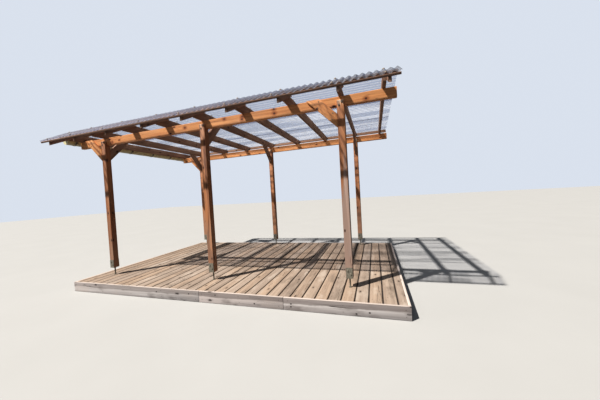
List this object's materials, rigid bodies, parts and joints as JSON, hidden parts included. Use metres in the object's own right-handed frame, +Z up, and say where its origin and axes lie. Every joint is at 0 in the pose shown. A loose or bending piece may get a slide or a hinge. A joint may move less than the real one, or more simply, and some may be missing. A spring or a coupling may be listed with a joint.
{
  "type": "wooden pergola with a corrugated roof",
  "caption": "Free-standing wooden pergola on a board deck: square posts on steel shoes, beams, purlins, knee braces, and a clear corrugated roof with a front apron and a gutter.",
  "frame": {"origin": "on the ground, under the middle of the pergola's bounding box", "axes": "+X along the length, away from the gutter end; +Y from the apron side to the back; +Z up"},
  "size_m": [5.4414, 3.3558, 2.7067],
  "materials": {
    "glazed_wood": "warm brown glaze on planed softwood, with knots and checks",
    "dark_wood": "dark brown glaze on sawn softwood",
    "deck_wood": "weathered pinkish grey boards",
    "fascia_wood": "weathered grey, with splits",
    "corrugated_sheet": "clear plastic, a little milky from weather",
    "galvanised_steel": "dull hot-dip zinc",
    "gutter_metal": "weathered beige grey"
  },
  "bodies": {
    "root": {"apron_sheet_left": "corrugated_sheet", "apron_sheet_right": "corrugated_sheet", "back_lath": "dark_wood", "beam_back": "glazed_wood", "beam_front": "glazed_wood", "deck_bearers": "fascia_wood", "deck_boards": "deck_wood", "deck_fascia_back": "fascia_wood", "deck_fascia_front": "fascia_wood", "deck_fascia_left": "fascia_wood", "deck_fascia_right": "fascia_wood", "front_lath": "dark_wood", "gutter": "gutter_metal", "gutter_brackets": "gutter_metal", "post_back_left": "glazed_wood", "post_back_middle": "glazed_wood", "post_back_right": "glazed_wood", "post_front_left": "glazed_wood", "post_front_middle": "glazed_wood", "post_front_right": "glazed_wood", "post_shoe_back_left": "galvanised_steel", "post_shoe_back_middle": "galvanised_steel", "post_shoe_back_right": "galvanised_steel", "post_shoe_front_left": "galvanised_steel", "post_shoe_front_middle": "galvanised_steel", "post_shoe_front_right": "galvanised_steel", "purlin_1": "dark_wood", "purlin_2": "dark_wood", "purlin_3": "dark_wood", "purlin_4": "dark_wood", "purlin_5": "dark_wood", "purlin_6": "dark_wood", "purlin_7": "dark_wood", "purlin_8": "dark_wood", "purlin_9": "dark_wood", "purlin_brace_back_left": "dark_wood", "purlin_brace_back_middle": "dark_wood", "purlin_brace_back_right": "dark_wood", "purlin_brace_front_left": "dark_wood", "purlin_brace_front_middle": "dark_wood", "purlin_tails": "dark_wood", "roof_sheet_back": "corrugated_sheet", "roof_sheet_front": "corrugated_sheet", "roof_sheet_middle": "corrugated_sheet", "row_brace_back_left": "glazed_wood", "row_brace_front_left": "glazed_wood", "row_brace_front_right": "glazed_wood"}
  },
  "joints": []
}
